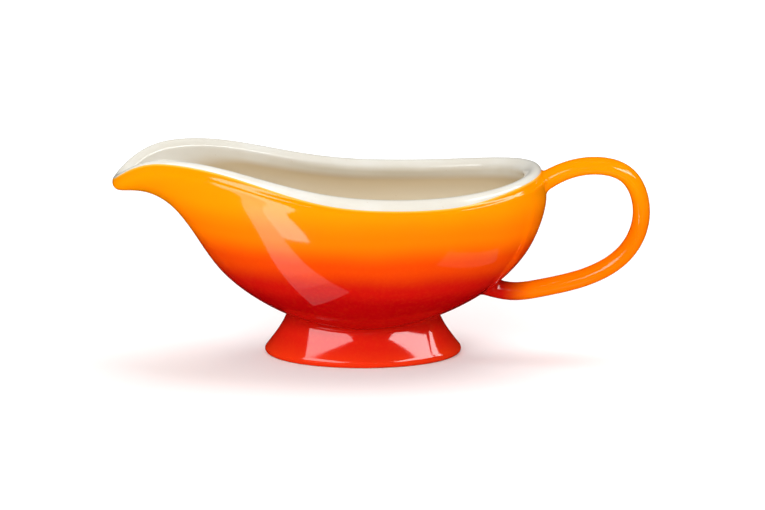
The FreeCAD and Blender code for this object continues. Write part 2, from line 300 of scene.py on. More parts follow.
class RingModel:
    """A tube or bowl modelled as by hand: a circle, extruded ring by ring in edit mode."""

    def __init__(self, name: str, columns: int) -> None:
        """Adds the circle that the first ring is made from.

        Args:
            name: The piece's name.
            columns: How many vertices a ring has.
        """
        bpy.ops.object.select_all(action="DESELECT")
        bpy.ops.mesh.primitive_circle_add(vertices=columns, radius=0.01)
        self.piece = bpy.context.object
        self.piece.name = name
        self.piece.data.name = name
        self.columns = columns
        self.rings = 0
        number = self.piece.data.attributes.new("column", "INT", "POINT")
        number.data.foreach_set("value", list(range(columns)))
        bpy.ops.object.mode_set(mode="EDIT")
        bpy.ops.mesh.select_mode(type="EDGE")
        bpy.ops.mesh.select_all(action="SELECT")

    def _place(self, ring: np.ndarray) -> None:
        """Puts the selected ring's vertices at their places.

        Args:
            ring: One place for each column.
        """
        shaped = bmesh.from_edit_mesh(self.piece.data)
        column = shaped.verts.layers.int["column"]
        for vertex in shaped.verts:
            if vertex.select:
                vertex.co = ring[vertex[column]]
        bmesh.update_edit_mesh(self.piece.data)
        self.rings += 1

    def add(self, ring: np.ndarray) -> "RingModel":
        """Extrudes the open edge and places it as the next ring.

        Args:
            ring: One place for each column.

        Returns:
            The model itself.
        """
        if self.rings:
            bpy.ops.mesh.extrude_edges_move()
        self._place(ring)
        return self

    def add_all(self, rings: np.ndarray) -> "RingModel":
        """Extrudes through several rings in turn.

        Args:
            rings: The rings, in order.

        Returns:
            The model itself.
        """
        for ring in rings:
            self.add(ring)
        return self

    def close_to_point(self, steps: int) -> "RingModel":
        """Draws the open edge in to its middle, in even steps, and closes it there.

        Args:
            steps: How many rings it takes.

        Returns:
            The model itself.
        """
        shaped = bmesh.from_edit_mesh(self.piece.data)
        column = shaped.verts.layers.int["column"]
        edge = sorted((v[column], v.co.copy()) for v in shaped.verts if v.select)
        ring = np.array([list(place) for _, place in edge])
        middle = ring.mean(axis=0)
        for step in range(1, steps):
            self.add(middle + (ring - middle) * (1 - step / steps))
        self.add(np.repeat(middle[None], self.columns, axis=0))
        bpy.ops.mesh.merge(type="CENTER")
        return self

    def finish(
        self, towards: Callable[[Vector], Vector], wall: float, subdivide: int = 0
    ) -> bpy.types.Object:
        """Turns the faces outwards, gives the skin its thickness and smooths it.

        Args:
            towards: Which way a face at a place looks.
            wall: The thickness, behind the faces; none makes no wall.
            subdivide: How many times the mesh is subdivided first.

        Returns:
            The finished piece.
        """
        bpy.ops.mesh.select_all(action="SELECT")
        bpy.ops.mesh.remove_doubles(threshold=MERGE_DISTANCE)
        bpy.ops.mesh.normals_make_consistent(inside=False)
        shaped = bmesh.from_edit_mesh(self.piece.data)
        lean = sum(f.normal.dot(towards(f.calc_center_median())) * f.calc_area() for f in shaped.faces)
        if lean < 0:
            bpy.ops.mesh.flip_normals()
        bpy.ops.object.mode_set(mode="OBJECT")
        if subdivide:
            apply_modifier(self.piece, "SUBSURF", levels=subdivide, render_levels=subdivide)
        if wall:
            apply_modifier(self.piece, "SOLIDIFY", thickness=wall, offset=-1.0, use_even_offset=True)
        bpy.ops.object.shade_smooth()
        return self.piece


def apply_modifier(piece: bpy.types.Object, kind: str, **settings: Any) -> None:
    """Adds a modifier to a piece, sets it up and applies it.

    Args:
        piece: The piece.
        kind: The modifier's type.
        settings: Its settings by name.
    """
    bpy.ops.object.select_all(action="DESELECT")
    piece.select_set(True)
    bpy.context.view_layer.objects.active = piece
    bpy.ops.object.modifier_add(type=kind)
    modifier = piece.modifiers[-1]
    for name, value in settings.items():
        setattr(modifier, name, value)
    bpy.ops.object.modifier_apply(modifier=modifier.name)


class Skin:
    """The glazed outside of the boat, which other pieces run into."""

    def __init__(self, rings: np.ndarray) -> None:
        """Keeps the skin's faces for finding the nearest place on it.

        Args:
            rings: The skin's rings, each joined to the next.
        """
        rows, columns = rings.shape[:2]
        points = [Vector(point) for point in rings.reshape(-1, 3)]
        faces = []
        for row in range(rows - 1):
            for column in range(columns):
                beside = (column + 1) % columns
                low, high = row * columns, (row + 1) * columns
                faces.append((low + column, low + beside, high + beside, high + column))
        self.tree = BVHTree.FromPolygons(points, faces)

    def nearest(self, point: np.ndarray) -> tuple[Vector, Vector]:
        """The nearest place on the skin and the way it faces there."""
        place, normal, _, _ = self.tree.find_nearest(Vector(point))
        return place, normal

    def outside(self, point: np.ndarray) -> float:
        """How far a point stands outside the skin; negative is inside."""
        place, normal = self.nearest(point)
        return (Vector(point) - place).dot(normal)

    def crossing(self, line: np.ndarray) -> float:
        """Where a line of points goes into the skin, counted in points from its outer end.

        Args:
            line: Points from the outside inwards.

        Returns:
            The place on the line; its last point if it never goes in.
        """
        before = self.outside(line[0])
        for step in range(1, len(line)):
            after = self.outside(line[step])
            if after <= 0:
                return step - 1 + before / (before - after)
            before = after
        return float(len(line) - 1)

    def joint(self, lines: np.ndarray, axis: np.ndarray, radius: float, steps: int) -> np.ndarray:
        """Rings that carry a wall into the skin with a rounded corner.

        Args:
            lines: For each column, points from the outside into the skin, evenly spaced.
            axis: The middle of the wall where it meets the skin.
            radius: The size of the corner.
            steps: How many rings the corner has.

        Returns:
            Rings from the plain wall to the skin.
        """
        rings = np.zeros((steps + 1, len(lines), 3))
        for column, line in enumerate(lines):
            spacing = float(np.linalg.norm(line[1] - line[0]))
            place = self.crossing(line)
            corner = read_line(line, place)
            start = read_line(line, max(0.0, place - radius / spacing))
            found, facing = self.nearest(corner)
            away = Vector(corner) - Vector(axis)
            away -= facing * away.dot(facing)
            end, out = self.nearest(np.array(found + away.normalized() * radius))
            end = np.array(end - out * SINK)
            for step in range(steps + 1):
                share = step / steps
                rest = 1 - share
                rings[step, column] = rest ** 2 * start + 2 * share * rest * corner + share ** 2 * end
        return rings


def read_line(line: np.ndarray, place: float) -> np.ndarray:
    """A point part of the way along a line of points."""
    low = min(int(place), len(line) - 2)
    return line[low] + (line[low + 1] - line[low]) * (place - low)


def read_points(piece: bpy.types.Object) -> np.ndarray:
    """The places of a piece's vertices.

    Args:
        piece: The piece.

    Returns:
        One row of three coordinates for each vertex.
    """
    points = np.empty(len(piece.data.vertices) * 3, np.float32)
    piece.data.vertices.foreach_get("co", points)
    return points.reshape(-1, 3)


def store_values(piece: bpy.types.Object, name: str, values: Sequence[float]) -> None:
    """Stores a value on each of a piece's vertices, for its glaze to read."""
    stored = piece.data.attributes.new(name, "FLOAT", "POINT")
    stored.data.foreach_set("value", values)


# ---------------------------------------------------------------- shader maths

Colour = tuple[float, float, float, float]


def linear(level: int) -> float:
    """One screen level from 0 to 255, as linear light from 0 to 1."""
    share = level / 255
    return share / 12.92 if share <= 0.04045 else ((share + 0.055) / 1.055) ** 2.4


def paint(red: int, green: int, blue: int) -> Colour:
    """A colour named by its red, green and blue, as the shader's linear values."""
    return linear(red), linear(green), linear(blue), 1.0


class Wire:
    """A shader socket that can be used in sums: each operator adds the Math node for it."""

    def __init__(self, recipe: "Recipe", socket: bpy.types.NodeSocket) -> None:
        """Wraps an output socket of a recipe's node."""
        self.recipe = recipe
        self.socket = socket

    def _maths(self, operation: str, *values: Any) -> "Wire":
        """Adds a Math node for one operation."""
        return self.recipe.node("ShaderNodeMath", {"operation": operation}, *values)

    def __add__(self, other: Any) -> "Wire":
        """The sum."""
        return self._maths("ADD", self, other)

    __radd__ = __add__

    def __sub__(self, other: Any) -> "Wire":
        """The difference."""
        return self._maths("SUBTRACT", self, other)

    def __rsub__(self, other: Any) -> "Wire":
        """The difference, the other way round."""
        return self._maths("SUBTRACT", other, self)

    def __mul__(self, other: Any) -> "Wire":
        """The product."""
        return self._maths("MULTIPLY", self, other)

    __rmul__ = __mul__

    def __truediv__(self, other: Any) -> "Wire":
        """The quotient."""
        return self._maths("DIVIDE", self, other)

    def between(self, low: float, high: float) -> "Wire":
        """How far the value lies from low to high, kept between 0 and 1 and eased at both ends."""
        settings = {"interpolation_type": "SMOOTHSTEP"}
        return self.recipe.node("ShaderNodeMapRange", settings, self, low, high, 0.0, 1.0)


class Recipe:
    """A material under construction."""

    def __init__(self, name: str) -> None:
        """Starts an empty node tree with its output.

        Args:
            name: The material's name.
        """
        self.material = bpy.data.materials.new(name)
        self.material.use_nodes = True
        self.tree = self.material.node_tree
        self.tree.nodes.clear()
        self.output = self.tree.nodes.new("ShaderNodeOutputMaterial")

    def node(
        self, kind: str, settings: dict[str, Any], *values: Any, out: int | str = 0, **named: Any
    ) -> Wire:
        """Adds a node.

        Args:
            kind: The node's type.
            settings: Its own settings, and "stops" for a ramp.
            values: Values or wires for its inputs, in order; None leaves one alone.
            out: Which output is wanted.
            named: Values or wires for inputs by name, with _ for each space.

        Returns:
            The wanted output.
        """
        made = self.tree.nodes.new(kind)
        for name, value in settings.items():
            if name == "stops":
                self._stops(made.color_ramp, value)
            else:
                setattr(made, name, value)
        wanted = list(zip(made.inputs, values))
        wanted += [(made.inputs[name.replace("_", " ")], value) for name, value in named.items()]
        for socket, value in wanted:
            if isinstance(value, Wire):
                self.tree.links.new(value.socket, socket)
            elif value is not None:
                socket.default_value = value
        return Wire(self, made.outputs[out])

    @staticmethod
    def _stops(ramp: bpy.types.ColorRamp, stops: Sequence[tuple[float, Colour]]) -> None:
        """Sets a colour ramp's stops.

        Args:
            ramp: The ramp.
            stops: A place and a colour for each, in order.
        """
        ramp.interpolation = "EASE"
        while len(ramp.elements) < len(stops):
            ramp.elements.new(0.5)
        for element, (place, colour) in zip(ramp.elements, stops):
            element.position = place
            element.color = colour

    def place(self) -> Wire:
        """Where on the object a point lies."""
        return self.node("ShaderNodeTexCoord", {}, out="Object")

    def along(self, axis: str) -> Wire:
        """A point's coordinate along one axis, in metres."""
        return self.node("ShaderNodeSeparateXYZ", {}, self.place(), out=axis)

    def attribute(self, name: str) -> Wire:
        """A value that the mesh carries."""
        return self.node("ShaderNodeAttribute", {"attribute_name": name}, out="Fac")

    def noise(self, size: float, detail: float = 2.0) -> Wire:
        """Soft random variation whose patches are about a size across, in metres."""
        return self.node("ShaderNodeTexNoise", {}, self.place(), None, 1 / size, detail)

    def mix(self, share: Any, first: Any, second: Any) -> Wire:
        """A colour between two.

        Args:
            share: How much of the second, from 0 to 1.
            first: A colour or a wire.
            second: A colour or a wire.

        Returns:
            The mixed colour.
        """
        gap = (None,) * 5
        return self.node("ShaderNodeMix", {"data_type": "RGBA"}, share, *gap, first, second, out=2)

    def bump(self, height: Wire, distance: float) -> Wire:
        """A surface that rises and falls with a height."""
        return self.node("ShaderNodeBump", {}, Strength=1.0, Distance=distance, Height=height, out="Normal")

    def shade(self, **sockets: Any) -> bpy.types.Material:
        """Ends the recipe with a principled shader.

        Args:
            sockets: Values or wires for the shader's inputs by name, with _ for each space.

        Returns:
            The finished material.
        """
        shader = self.node("ShaderNodeBsdfPrincipled", {}, **sockets)
        self.tree.links.new(shader.socket, self.output.inputs["Surface"])
        return self.material


# ---------------------------------------------------------------- finishes

@dataclass(frozen=True)
class Gloss:
    """How a fired glaze shines."""

    roughness: float = 0.07
    ripple_size: float = 16 * MM
    ripple_height: float = 0.05 * MM
    peel_size: float = 1.6 * MM
    peel_height: float = 0.0012 * MM
    breath_size: float = 9 * MM

    def normal(self, recipe: Recipe) -> Wire:
        """The gentle waves of a run glaze, with a fine skin on them.

        Args:
            recipe: The glaze's recipe.

        Returns:
            The bumped normal.
        """
        waves = recipe.noise(self.ripple_size, 1.0) * self.ripple_height
        skin = recipe.noise(self.peel_size, 2.0) * self.peel_height
        return recipe.bump((waves + skin) / MM, MM)

    def sheen(self, recipe: Recipe) -> Wire:
        """Roughness that varies a little from place to place."""
        return recipe.noise(self.breath_size, 3.0) * (self.roughness * 0.5) + self.roughness * 0.75


class Part(Enum):
    """Where a flame glaze lies, which sets how its colours run."""

    HULL = "hull"
    HANDLE = "handle"
    FOOT = "foot"
    HOLLOW = "hollow"


@dataclass(frozen=True)
class FlameGlaze:
    """Orange glaze that was sprayed over with red from below."""

    part: Part
    gloss: Gloss = Gloss()
    amber: Colour = paint(255, 146, 0)
    orange: Colour = paint(250, 118, 0)
    coral: Colour = paint(226, 66, 2)
    scarlet: Colour = paint(194, 15, 8)
    crimson: Colour = paint(172, 1, 6)
    lip_band: Colour = paint(255, 196, 74)
    foot_edge: Colour = paint(240, 52, 16)
    foot_side: Colour = paint(222, 30, 14)
    drift_size: float = 34 * MM
    drift_rise: float = 4 * MM
    mottle_size: float = 1.4 * MM
    mottle_share: float = 0.035
    hull_band: tuple[float, float] = (14 * MM, 76 * MM)
    handle_band: tuple[float, float] = (24 * MM, 86 * MM)
    foot_band: tuple[float, float] = (1 * MM, 17 * MM)
    hollow_band: tuple[float, float] = (0.0, 17 * MM)
    thin_line: float = 1.1 * MM
    thin_share: float = 0.85
    root_reach: tuple[float, float] = (60 * MM, 76 * MM)
    root_height: tuple[float, float] = (34 * MM, 46 * MM)

    def material(self) -> bpy.types.Material:
        """Builds the glaze for its part of the boat.

        Returns:
            The material.
        """
        recipe = Recipe(f"flame_glaze_{self.part.value}")
        drift = (recipe.noise(self.drift_size, 1.0) - 0.5) * self.drift_rise
        height = recipe.along("Z") + drift
        colour = getattr(self, f"_{self.part.value}")(recipe, height)
        mottle = recipe.noise(self.mottle_size, 3.0).between(0.42, 0.72) * self.mottle_share
        colour = recipe.mix(mottle, colour, self.orange)
        return recipe.shade(
            Base_Color=colour,
            Roughness=self.gloss.sheen(recipe),
            Normal=self.gloss.normal(recipe),
            IOR=1.5,
        )

    @staticmethod
    def _ramp(
        recipe: Recipe, height: Wire, band: tuple[float, float], *stops: tuple[float, Colour]
    ) -> Wire:
        """Colours that change across a band of heights."""
        share = recipe.node("ShaderNodeMapRange", {}, height, *band, 0.0, 1.0)
        return recipe.node("ShaderNodeValToRGB", {"stops": stops}, share)

    def _hull(self, recipe: Recipe, height: Wire) -> Wire:
        """Red at the waist, through orange to amber at the lip, with a pale line where it thins.

        Args:
            recipe: The glaze's recipe.
            height: Height above the table.

        Returns:
            The colour.
        """
        colour = self._ramp(
            recipe, height, self.hull_band,
            (0.00, self.crimson), (0.26, self.crimson), (0.37, self.scarlet),
            (0.55, self.coral), (0.76, self.orange), (1.00, self.amber),
        )
        near_lip = 1 - recipe.attribute("below_lip").between(0.0, self.thin_line)
        return recipe.mix(near_lip * self.thin_share, colour, self.lip_band)

    def _handle(self, recipe: Recipe, height: Wire) -> Wire:
        """Orange, with the hull's red running a little way up from the lower joint.

        Args:
            recipe: The glaze's recipe.
            height: Height above the table.

        Returns:
            The colour.
        """
        colour = self._ramp(
            recipe, height, self.handle_band,
            (0.00, self.orange), (0.45, self.orange), (1.00, self.amber),
        )
        root = 1 - recipe.along("X").between(*self.root_reach)
        low = 1 - height.between(*self.root_height)
        return recipe.mix(root * low, colour, self.scarlet)

    def _foot(self, recipe: Recipe, height: Wire) -> Wire:
        """Deep red at the waist, brighter where the glaze thins towards the edge."""
        stops = (0.00, self.foot_edge), (0.55, self.foot_side), (1.00, self.scarlet)
        return self._ramp(recipe, height, self.foot_band, *stops)

    def _hollow(self, recipe: Recipe, height: Wire) -> Wire:
        """Deep red all over."""
        return self._ramp(recipe, height, self.hollow_band, (0.0, self.scarlet), (1.0, self.crimson))


@dataclass(frozen=True)
class CreamGlaze:
    """The pale liner glaze."""

    gloss: Gloss = Gloss(roughness=0.10, ripple_height=0.03 * MM)
    cream: Colour = paint(216, 211, 199)
    milk: Colour = paint(221, 218, 209)
    # Painted shade: a darker cream band just under the lip.
    lip_band: Colour = paint(196, 177, 145)
    # Painted shade: a darker, warmer cream deeper inside the bowl.
    deep_shade: Colour = paint(216, 203, 178)
    fleck: Colour = paint(190, 168, 132)
    patch_size: float = 22 * MM
    fleck_size: float = 1.3 * MM
    fleck_share: float = 0.35
    # How deep the painted shade under the lip and the deeper painted shade set in.
    lip_shade_depth: tuple[float, float] = (0.0, 0.28)
    deep_shade_depth: tuple[float, float] = (0.30, 1.0)

    def material(self) -> bpy.types.Material:
        """Builds the cream, a little whiter in patches, with painted shade just under the lip and deeper
        inside, and a few faint flecks.

        Returns:
            The material.
        """
        recipe = Recipe("cream_glaze")
        patches = recipe.noise(self.patch_size, 2.0).between(0.35, 0.7)
        colour = recipe.mix(patches, self.cream, self.milk)
        inside = recipe.attribute("inside")
        # Painted shade just under the lip, darkening the cream there.
        colour = recipe.mix(inside.between(*self.lip_shade_depth), colour, self.lip_band)
        # Painted shade deeper inside the bowl, darker and warmer than the lip.
        colour = recipe.mix(inside.between(*self.deep_shade_depth), colour, self.deep_shade)
        flecks = recipe.noise(self.fleck_size, 1.0).between(0.74, 0.80) * self.fleck_share
        colour = recipe.mix(flecks, colour, self.fleck)
        return recipe.shade(
            Base_Color=colour,
            Roughness=self.gloss.sheen(recipe),
            Normal=self.gloss.normal(recipe),
            IOR=1.5,
        )


@dataclass(frozen=True)
class Bisque:
    """Fired clay with no glaze."""

    name: str
    body: Colour = paint(222, 208, 184)
    grog: Colour = paint(176, 150, 118)
    grit_size: float = 0.7 * MM
    grit_share: float = 0.6
    grit_height: float = 0.05 * MM

    def material(self) -> bpy.types.Material:
        """Builds the matt, slightly gritty clay.

        Returns:
            The material.
        """
        recipe = Recipe(self.name)
        grit = recipe.noise(self.grit_size, 3.0)
        colour = recipe.mix(grit.between(0.55, 0.78) * self.grit_share, self.body, self.grog)
        return recipe.shade(
            Base_Color=colour,
            Roughness=recipe.noise(3 * MM, 2.0) * 0.2 + 0.72,
            Normal=recipe.bump(grit, self.grit_height),
        )


@dataclass(frozen=True)
class StudioFloor:
    """The plain pale surface that the boat stands on."""

    pale: Colour = (0.92, 0.92, 0.92, 1.0)
    dim: Colour = (0.10, 0.10, 0.10, 1.0)
    bright: Colour = (0.60, 0.60, 0.60, 1.0)
    near: float = 0.18
    far: float = 0.9

    def material(self) -> bpy.types.Material:
        """Builds the matt floor, with a painted glow that is dim near the boat and brighter away from it.

        Returns:
            The material.
        """
        recipe = Recipe("studio_floor")
        grain = recipe.noise(2 * MM, 2.0) * 0.01
        length = {"operation": "LENGTH"}
        away = recipe.node("ShaderNodeVectorMath", length, recipe.place(), out="Value")
        # Painted light: the floor's emission grows from dim near the boat to bright away from it.
        glow = recipe.mix(away.between(self.near, self.far), self.dim, self.bright)
        return recipe.shade(
            Base_Color=self.pale,
            Roughness=grain + 0.9,
            Specular_IOR_Level=0.0,
            Emission_Color=glow,
            Emission_Strength=1.0,
        )


def dress(piece: bpy.types.Object, material: bpy.types.Material) -> None:
    """Gives a piece one material."""
    piece.data.materials.clear()
    piece.data.materials.append(material)


def settle(piece: bpy.types.Object, slot: str, *nodes: str) -> bpy.types.Object:
    """Rides a finished piece on the body, in place of its CAD nodes, and reports it.

    Args:
        piece: The finished piece.
        slot: Meant as the name of its material slot; not used.
        nodes: The CAD nodes that it stands for.

    Returns:
        The piece.
    """
    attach(piece, BODY)
    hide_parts(*nodes)
    LOG.info("%s: %d faces, for %s", piece.name, len(piece.data.polygons), ", ".join(nodes))
    return piece


# ---------------------------------------------------------------- sub-assemblies

def steps_between(first: Any, last: Any, rows: int, columns: int) -> np.ndarray:
    """Places from one line of stations to another, evenly spaced in every column.

    Args:
        first: Where every column starts, or one place for all.
        last: Where every column ends, or one place for all.
        rows: How many places a column has.
        columns: How many columns there are.

    Returns:
        The places, row by row.
    """
    share = np.linspace(0, 1, rows)[:, None]
    start, end = np.broadcast_to(first, columns), np.broadcast_to(last, columns)
    return start + (end - start) * share


@dataclass
class Boat:
    """The boat's two glaze coats: the flame outside and the cream inside."""

    shape: BoatShape = field(default_factory=BoatShape)
    hidden_start: float = 0.35
    coat_wall: float = 0.45 * MM
    hull_rows: int = 47
    lip_rows: int = 20
    well_rows: int = 36
    floor_rows: int = 5
    # Where the liner's painted shade starts below the lip, and how far down it takes to reach full.
    lip_depth: float = 5.2 * MM
    shade_depth: float = 14.0 * MM
    throat: tuple[float, float] = (88.0 * MM, 52.0 * MM)

    def build(self) -> Skin:
        """Models both coats.

        Returns:
            The outside skin, for the foot and the handle to run into.
        """
        columns = self.shape.columns
        line = self.shape.glaze_line()
        lip_end = self.shape.lip_start + len(self.shape.lip_turns) - 1.0
        last = len(self.shape.stations(0.0)) - 1.0
        hull = self.shape.rings(steps_between(self.hidden_start, line, self.hull_rows, columns))
        self._outside(hull)
        over_lip = steps_between(line, lip_end, self.lip_rows, columns)
        down_inside = steps_between(lip_end, last, self.well_rows, columns)[1:]
        self._inside(self.shape.rings(np.concatenate([over_lip, down_inside])))
        return Skin(hull)

    def _outside(self, rings: np.ndarray) -> None:
        """The flame glaze from under the hull to the glaze line on the lip.

        Args:
            rings: Its rings, upwards.
        """
        model = RingModel("flame_coat", self.shape.columns).add_all(rings)
        middle = Vector((0, 0, self.shape.belly_height))
        piece = model.finish(lambda place: place - middle, self.coat_wall, 1)
        self._measure_lip(piece, rings[-1])
        dress(piece, FlameGlaze(Part.HULL).material())
        settle(piece, "flame_glaze", "bowl_glaze")

    def _inside(self, rings: np.ndarray) -> None:
        """The cream glaze over the lip and down to a closed floor.

        Args:
            rings: Its rings, over the lip and down.
        """
        model = RingModel("cream_liner", self.shape.columns).add_all(rings)
        model.close_to_point(self.floor_rows)
        centre = Vector((0, 0, self.shape.belly_height))
        piece = model.finish(lambda place: centre - place, self.coat_wall, 1)
        self._measure_depth(piece)
        dress(piece, CreamGlaze().material())
        settle(piece, "cream_glaze", "liner_glaze")

    def _measure_depth(self, piece: bpy.types.Object) -> None:
        """Stores how far inside the boat each point lies, for the liner's painted shade: 0 on the lip, 1 where
        that shade is full.

        Args:
            piece: The cream liner.
        """
        points = read_points(piece)
        top = self.shape.rim_height + self.shape.sheer_rise(points[:, 0])
        depth = np.clip((top - points[:, 2] - self.lip_depth) / self.shade_depth, 0, 1)
        depth *= np.clip((points[:, 0] + self.throat[0]) / (self.throat[0] - self.throat[1]), 0, 1)
        store_values(piece, "inside", depth.astype(np.float32))

    @staticmethod
    def _measure_lip(piece: bpy.types.Object, lip: np.ndarray) -> None:
        """Stores how far below the glaze line each point lies.

        Args:
            piece: The flame coat.
            lip: Points along the glaze line.
        """
        count = len(lip)
        band = np.concatenate([lip, lip + (0, 0, 0.01 * MM)])
        faces = [(c, (c + 1) % count, (c + 1) % count + count, c + count) for c in range(count)]
        edge = BVHTree.FromPolygons([Vector(point) for point in band], faces)
        below = [edge.find_nearest(Vector(point))[3] for point in read_points(piece)]
        store_values(piece, "below_lip", below)


@dataclass
class Foot:
    """The flared oval foot's glaze, from the hull down round the lower edge."""

    half_length: float = 45.0 * MM
    half_width: float = 32.0 * MM
    height: float = 16.7 * MM
    flare: float = 11.3 * MM
    dish: float = 0.8 * MM
    edge: float = 1.9 * MM
    lift: float = 0.15 * MM
    into_hull: float = 5.0 * MM
    coat: float = 0.5 * MM
    coat_wall: float = 0.4 * MM
    corner: float = 2.4 * MM
    edge_turn: float = 84.0
    columns: int = 144
    wall_points: int = 90
    wall_rows: int = 16
    edge_rows: int = 10
    corner_rows: int = 8

    def inset(self, heights: np.ndarray) -> np.ndarray:
        """How far the flare stands in from its outline on the table.

        Args:
            heights: Heights above the table.

        Returns:
            The inset at each height.
        """
        knots = np.array([0.0, self.height / 2, self.height, self.height + self.into_hull])
        insets = np.array([0.0, self.flare / 2 + self.dish, self.flare, self.flare + 2 * self.dish])
        return spline_through(insets[:, None], knots, heights)[:, 0]

    def oval(self, inset: float, height: float) -> np.ndarray:
        """A level oval, inset from the foot's outline.

        Args:
            inset: How far it stands in.
            height: Its height above the table.

        Returns:
            One point for each column.
        """
        turn = 2 * np.pi * np.arange(self.columns) / self.columns
        x = (self.half_length - inset + self.coat) * np.cos(turn)
        y = (self.half_width - inset + self.coat) * np.sin(turn)
        return np.stack([x, y, np.full_like(x, height)], axis=-1)

    def build(self, skin: Skin) -> None:
        """Models the glaze.

        Args:
            skin: The boat's outside, which the foot runs up into.
        """
        top = self.height + self.into_hull
        heights = np.linspace(self._edge_place(0.0)[1], top, self.wall_points)
        wall = np.array([self.oval(inset, z) for inset, z in zip(self.inset(heights), heights)])
        axis = np.array([0.0, 0.0, self.height])
        joint = skin.joint(np.swapaxes(wall, 0, 1), axis, self.corner, self.corner_rows)
        tops = joint[0, :, 2]
        below = np.array([
            [wall_at(wall[:, column], tops[column], row / self.wall_rows) for column in range(self.columns)]
            for row in range(self.wall_rows)
        ])
        shares = np.linspace(1, 0, self.edge_rows)
        under = np.array([self.oval(*self._edge_place(share)) for share in shares])
        model = RingModel("foot_coat", self.columns).add_all(np.concatenate([under[:-1], below, joint]))
        piece = model.finish(lambda place: Vector((place.x, place.y, 0)), self.coat_wall)
        dress(piece, FlameGlaze(Part.FOOT).material())
        settle(piece, "flame_glaze", "foot_glaze")

    def _edge_place(self, share: float) -> tuple[float, float]:
        """A place on the rounded lower edge.

        Args:
            share: How far round it, from 0 where it leaves the flare to 1 underneath.

        Returns:
            The inset and the height.
        """
        slope = math.atan((self.flare / 2 + self.dish) / (self.height / 2))
        turn = slope - (slope + math.radians(self.edge_turn)) * share
        start = self.edge * (1 + math.sin(slope)) + self.lift
        middle = self.inset(np.array([start]))[0] + self.edge * math.cos(slope)
        return middle - self.edge * math.cos(turn), self.edge * (1 + math.sin(turn)) + self.lift


def wall_at(line: np.ndarray, top: float, share: float) -> np.ndarray:
    """A point on an upright line of points, part of the way from its lowest to a height."""
    height = line[0][2] + (top - line[0][2]) * share
    return np.array([np.interp(height, line[:, 2], line[:, axis]) for axis in range(3)])


def distances_along(points: np.ndarray) -> np.ndarray:
    """How far along a line of points each one lies."""
    return np.concatenate([[0], np.cumsum(np.linalg.norm(np.diff(points, axis=0), axis=1))])


